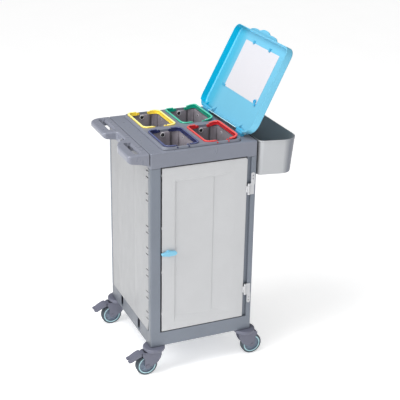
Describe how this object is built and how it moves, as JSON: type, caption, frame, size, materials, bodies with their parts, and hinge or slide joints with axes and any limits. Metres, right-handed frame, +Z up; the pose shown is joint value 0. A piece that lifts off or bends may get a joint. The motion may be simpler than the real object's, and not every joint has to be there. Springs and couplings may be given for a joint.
{
  "type": "waste collection cart",
  "caption": "Wheeled waste collection cart with a closed cabinet, hinged door, coloured bag rings under a hinged lid, push handle, side tray and swivel castors.",
  "frame": {"origin": "middle of the bounding box's footprint, on the floor under the tyres", "axes": "+Z up; +X to the cart's right as seen from the door side, away from the handle; +Y from the door towards the back"},
  "size_m": [0.735, 0.542, 1.3175],
  "materials": {
    "frame_grey": "fine-grained moulded plastic",
    "panel_grey": "smooth moulded plastic",
    "strap_grey": "smooth moulded plastic",
    "steel": "turned steel",
    "castor_grey": "moulded plastic",
    "lid_cyan": "slightly translucent gloss plastic",
    "dark_plastic": "moulded plastic",
    "peg_grey": "moulded plastic",
    "card_white": "blank white card",
    "bag_fabric": "coated woven bag cloth",
    "ring_yellow": "gloss moulded plastic",
    "ring_green": "gloss moulded plastic",
    "ring_blue": "gloss moulded plastic",
    "ring_red": "gloss moulded plastic",
    "wheel_teal": "moulded plastic",
    "tyre": "soft rubber"
  },
  "bodies": {
    "frame": {"back_panel": "panel_grey", "bag_blue": "bag_fabric", "bag_deck": "frame_grey", "bag_green": "bag_fabric", "bag_red": "bag_fabric", "bag_yellow": "bag_fabric", "base_frame": "frame_grey", "castor_bumpers": "castor_grey", "door_hinge_pins": "steel", "handle_unit": "frame_grey", "left_panel": "panel_grey", "lid_brackets": "lid_cyan", "lid_pins": "steel", "post_back_left": "frame_grey", "post_back_right": "frame_grey", "post_front_left": "frame_grey", "post_front_right": "frame_grey", "right_panel": "panel_grey", "ring_pins": "peg_grey", "side_tray": "panel_grey", "strap_lower": "strap_grey", "strap_upper": "strap_grey", "top_frame": "frame_grey", "tray_brackets": "panel_grey"},
    "door": {"door": "panel_grey", "latch_rosette": "lid_cyan"},
    "latch": {"latch_knob": "lid_cyan", "latch_cam": "dark_plastic"},
    "lid": {"lid": "lid_cyan", "card_sheet": "card_white", "card_clips": "lid_cyan", "card_knob": "lid_cyan"},
    "ring_yellow_left": {"ring_yellow_left": "ring_yellow"},
    "ring_yellow_right": {"ring_yellow_right": "ring_yellow"},
    "ring_green_left": {"ring_green_left": "ring_green"},
    "ring_green_right": {"ring_green_right": "ring_green"},
    "ring_blue_left": {"ring_blue_left": "ring_blue"},
    "ring_blue_right": {"ring_blue_right": "ring_blue"},
    "ring_red_left": {"ring_red_left": "ring_red"},
    "ring_red_right": {"ring_red_right": "ring_red"},
    "castor_fl": {"fork_fl": "castor_grey", "axle_fl": "steel"},
    "wheel_fl": {"rim_fl": "wheel_teal", "tyre_fl": "tyre"},
    "pedal_fl": {"pedal_fl": "castor_grey"},
    "castor_fr": {"fork_fr": "castor_grey", "axle_fr": "steel"},
    "wheel_fr": {"rim_fr": "wheel_teal", "tyre_fr": "tyre"},
    "castor_bl": {"fork_bl": "castor_grey", "axle_bl": "steel"},
    "wheel_bl": {"rim_bl": "wheel_teal", "tyre_bl": "tyre"},
    "pedal_bl": {"pedal_bl": "castor_grey"},
    "castor_br": {"fork_br": "castor_grey", "axle_br": "steel"},
    "wheel_br": {"rim_br": "wheel_teal", "tyre_br": "tyre"}
  },
  "joints": [
    {"name": "lid_hinge", "type": "hinge", "parent": "frame", "child": "lid", "pos_m": [0.142, 0, 0.9744], "axis": [0, 1, 0], "range_deg": [-116.9, 0]},
    {"name": "door_hinge", "type": "hinge", "parent": "frame", "child": "door", "pos_m": [0.14, -0.246, 0.541], "axis": [0, 0, 1], "range_deg": [0, 135]},
    {"name": "latch_turn", "type": "hinge", "parent": "door", "child": "latch", "pos_m": [-0.198, -0.251, 0.538], "axis": [0, 1, 0], "range_deg": [0, 90]},
    {"name": "ring_yellow_left_lift", "type": "hinge", "parent": "frame", "child": "ring_yellow_left", "pos_m": [-0.156, 0.1195, 0.9645], "axis": [0, 1, 0], "range_deg": [0, 95]},
    {"name": "ring_yellow_right_lift", "type": "hinge", "parent": "frame", "child": "ring_yellow_right", "pos_m": [-0.109, 0.1195, 0.9645], "axis": [0, -1, 0], "range_deg": [0, 95]},
    {"name": "ring_green_left_lift", "type": "hinge", "parent": "frame", "child": "ring_green_left", "pos_m": [0.009, 0.1195, 0.9645], "axis": [0, 1, 0], "range_deg": [0, 95]},
    {"name": "ring_green_right_lift", "type": "hinge", "parent": "frame", "child": "ring_green_right", "pos_m": [0.056, 0.1195, 0.9645], "axis": [0, -1, 0], "range_deg": [-13, 82]},
    {"name": "ring_blue_left_lift", "type": "hinge", "parent": "frame", "child": "ring_blue_left", "pos_m": [-0.156, -0.12, 0.9645], "axis": [0, 1, 0], "range_deg": [0, 95]},
    {"name": "ring_blue_right_lift", "type": "hinge", "parent": "frame", "child": "ring_blue_right", "pos_m": [-0.109, -0.12, 0.9645], "axis": [0, -1, 0], "range_deg": [0, 95]},
    {"name": "ring_red_left_lift", "type": "hinge", "parent": "frame", "child": "ring_red_left", "pos_m": [0.009, -0.12, 0.9645], "axis": [0, 1, 0], "range_deg": [0, 95]},
    {"name": "ring_red_right_lift", "type": "hinge", "parent": "frame", "child": "ring_red_right", "pos_m": [0.056, -0.12, 0.9645], "axis": [0, -1, 0], "range_deg": [-13, 82]},
    {"name": "swivel_fl", "type": "hinge", "parent": "frame", "child": "castor_fl", "pos_m": [-0.252, -0.226, 0.109], "axis": [0, 0, 1], "continuous": true},
    {"name": "roll_fl", "type": "hinge", "parent": "castor_fl", "child": "wheel_fl", "pos_m": [-0.2855, -0.226, 0.045], "axis": [0, 1, 0], "continuous": true},
    {"name": "pedal_fl_press", "type": "hinge", "parent": "castor_fl", "child": "pedal_fl", "pos_m": [-0.298, -0.226, 0.1], "axis": [0, -1, 0], "range_deg": [0, 8]},
    {"name": "swivel_fr", "type": "hinge", "parent": "frame", "child": "castor_fr", "pos_m": [0.152, -0.226, 0.109], "axis": [0, 0, 1], "continuous": true},
    {"name": "roll_fr", "type": "hinge", "parent": "castor_fr", "child": "wheel_fr", "pos_m": [0.1855, -0.226, 0.045], "axis": [0, 1, 0], "continuous": true},
    {"name": "swivel_bl", "type": "hinge", "parent": "frame", "child": "castor_bl", "pos_m": [-0.252, 0.226, 0.109], "axis": [0, 0, 1], "continuous": true},
    {"name": "roll_bl", "type": "hinge", "parent": "castor_bl", "child": "wheel_bl", "pos_m": [-0.2855, 0.226, 0.045], "axis": [0, 1, 0], "continuous": true},
    {"name": "pedal_bl_press", "type": "hinge", "parent": "castor_bl", "child": "pedal_bl", "pos_m": [-0.298, 0.226, 0.1], "axis": [0, -1, 0], "range_deg": [0, 8]},
    {"name": "swivel_br", "type": "hinge", "parent": "frame", "child": "castor_br", "pos_m": [0.152, 0.226, 0.109], "axis": [0, 0, 1], "continuous": true},
    {"name": "roll_br", "type": "hinge", "parent": "castor_br", "child": "wheel_br", "pos_m": [0.1855, 0.226, 0.045], "axis": [0, 1, 0], "continuous": true}
  ]
}
